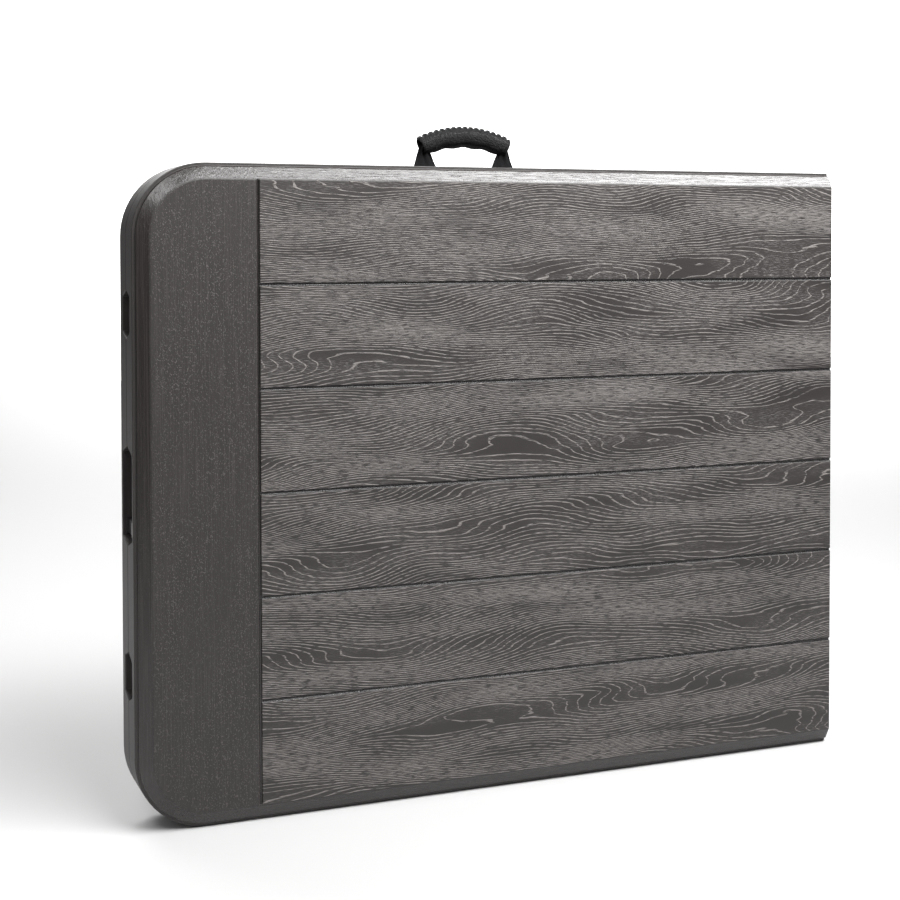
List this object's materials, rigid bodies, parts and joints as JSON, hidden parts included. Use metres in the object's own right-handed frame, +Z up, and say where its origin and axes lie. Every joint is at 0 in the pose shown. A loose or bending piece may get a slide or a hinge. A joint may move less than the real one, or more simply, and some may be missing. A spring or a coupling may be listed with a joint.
{
  "type": "folding table",
  "caption": "Fold-in-half moulded table with a plank-pattern top, stored closed on its long edge, with folding telescopic legs and a carrying handle.",
  "frame": {"origin": "middle of the closed table's base, on the long edge that it stands on", "axes": "+X along the table towards the fold, +Y through the thickness towards the back half, +Z up across the table's width, from the standing edge to the handle"},
  "size_m": [0.9096, 0.09, 0.79],
  "materials": {
    "moulded_plastic": "embossed wood grain, satin",
    "frame_steel": "grey powder coat",
    "leg_steel": "dark grey powder coat",
    "zinc_steel": "zinc plated",
    "black_plastic": "moulded, fine texture",
    "grip_rubber": "ribbed, matt",
    "webbing": "woven black webbing"
  },
  "bodies": {
    "front_half": {"front_top_panel": "moulded_plastic", "front_low_rail": "frame_steel", "front_low_hinge_leaf": "zinc_steel", "front_high_rail": "frame_steel", "front_high_hinge_leaf": "zinc_steel", "front_rail_screws": "zinc_steel", "front_rail_caps": "black_plastic", "front_leaf_rivets": "zinc_steel", "front_stay_catch": "zinc_steel", "front_catch_screws": "zinc_steel", "hinge_pins": "zinc_steel", "strap_tails": "webbing", "strap_anchor_plates": "zinc_steel", "strap_anchor_screws": "zinc_steel", "shut_clip": "zinc_steel"},
    "back_half": {"back_top_panel": "moulded_plastic", "back_low_rail": "frame_steel", "back_low_hinge_leaf": "zinc_steel", "back_high_rail": "frame_steel", "back_high_hinge_leaf": "zinc_steel", "back_rail_screws": "zinc_steel", "back_rail_caps": "black_plastic", "back_leaf_rivets": "zinc_steel", "back_stay_catch": "zinc_steel", "back_catch_screws": "zinc_steel", "shut_stud": "black_plastic"},
    "front_leg": {"front_leg_pivot_bar": "leg_steel", "front_leg_pivot_bolts": "zinc_steel", "front_leg_cross_bar": "leg_steel", "front_low_leg_outer_tube": "leg_steel", "front_high_leg_outer_tube": "leg_steel", "front_stay_rings": "black_plastic"},
    "front_stay": {"front_leg_stay": "leg_steel"},
    "front_low_foot": {"front_low_leg_inner_tube": "leg_steel", "front_low_leg_foot": "black_plastic"},
    "front_low_collar": {"front_low_leg_collar": "black_plastic"},
    "front_high_foot": {"front_high_leg_inner_tube": "leg_steel", "front_high_leg_foot": "black_plastic"},
    "front_high_collar": {"front_high_leg_collar": "black_plastic"},
    "back_leg": {"back_leg_pivot_bar": "leg_steel", "back_leg_pivot_bolts": "zinc_steel", "back_leg_cross_bar": "leg_steel", "back_low_leg_outer_tube": "leg_steel", "back_high_leg_outer_tube": "leg_steel", "back_stay_rings": "black_plastic"},
    "back_stay": {"back_leg_stay": "leg_steel"},
    "back_low_foot": {"back_low_leg_inner_tube": "leg_steel", "back_low_leg_foot": "black_plastic"},
    "back_low_collar": {"back_low_leg_collar": "black_plastic"},
    "back_high_foot": {"back_high_leg_inner_tube": "leg_steel", "back_high_leg_foot": "black_plastic"},
    "back_high_collar": {"back_high_leg_collar": "black_plastic"},
    "handle": {"handle_grip": "grip_rubber", "handle_straps": "webbing"}
  },
  "joints": [
    {"name": "fold_hinge", "type": "hinge", "parent": "front_half", "child": "back_half", "pos_m": [0.44575, 0, 0.37], "axis": [0, 0, -1], "range_deg": [0, 180]},
    {"name": "front_leg_swing", "type": "hinge", "parent": "front_half", "child": "front_leg", "pos_m": [-0.34475, -0.0142, 0.37], "axis": [0, 0, 1], "range_deg": [0, 90]},
    {"name": "front_stay_swing", "type": "hinge", "parent": "front_leg", "child": "front_stay", "pos_m": [-0.14475, -0.0142, 0.33], "axis": [0, 0, -1], "range_deg": [0, 127.57]},
    {"name": "front_low_leg_extend", "type": "slide", "parent": "front_leg", "child": "front_low_foot", "axis": [1, 0, 0], "range_m": [0, 0.165]},
    {"name": "front_low_collar_twist", "type": "hinge", "parent": "front_leg", "child": "front_low_collar", "pos_m": [0.16145, -0.0142, 0.095], "axis": [1, 0, 0], "range_deg": [0, 90]},
    {"name": "front_high_leg_extend", "type": "slide", "parent": "front_leg", "child": "front_high_foot", "axis": [1, 0, 0], "range_m": [0, 0.165]},
    {"name": "front_high_collar_twist", "type": "hinge", "parent": "front_leg", "child": "front_high_collar", "pos_m": [0.16145, -0.0142, 0.615], "axis": [1, 0, 0], "range_deg": [0, 90]},
    {"name": "back_leg_swing", "type": "hinge", "parent": "back_half", "child": "back_leg", "pos_m": [-0.34475, 0.0142, 0.37], "axis": [0, 0, -1], "range_deg": [0, 90]},
    {"name": "back_stay_swing", "type": "hinge", "parent": "back_leg", "child": "back_stay", "pos_m": [-0.14475, 0.0142, 0.41], "axis": [0, 0, 1], "range_deg": [0, 127.57]},
    {"name": "back_low_leg_extend", "type": "slide", "parent": "back_leg", "child": "back_low_foot", "axis": [1, 0, 0], "range_m": [0, 0.165]},
    {"name": "back_low_collar_twist", "type": "hinge", "parent": "back_leg", "child": "back_low_collar", "pos_m": [0.16145, 0.0142, 0.645], "axis": [1, 0, 0], "range_deg": [0, 90]},
    {"name": "back_high_leg_extend", "type": "slide", "parent": "back_leg", "child": "back_high_foot", "axis": [1, 0, 0], "range_m": [0, 0.165]},
    {"name": "back_high_collar_twist", "type": "hinge", "parent": "back_leg", "child": "back_high_collar", "pos_m": [0.16145, 0.0142, 0.125], "axis": [1, 0, 0], "range_deg": [0, 90]},
    {"name": "handle_swing", "type": "hinge", "parent": "front_half", "child": "handle", "pos_m": [-0.05075, -0.003, 0.741], "axis": [1, 0, 0], "range_deg": [-60, 60]}
  ],
  "couplings": [
    {"joint": "front_leg_swing", "follows": "fold_hinge", "ratio": 0.5},
    {"joint": "front_stay_swing", "follows": "fold_hinge", "ratio": 0.70871},
    {"joint": "back_leg_swing", "follows": "fold_hinge", "ratio": 0.5},
    {"joint": "back_stay_swing", "follows": "fold_hinge", "ratio": 0.70871}
  ]
}
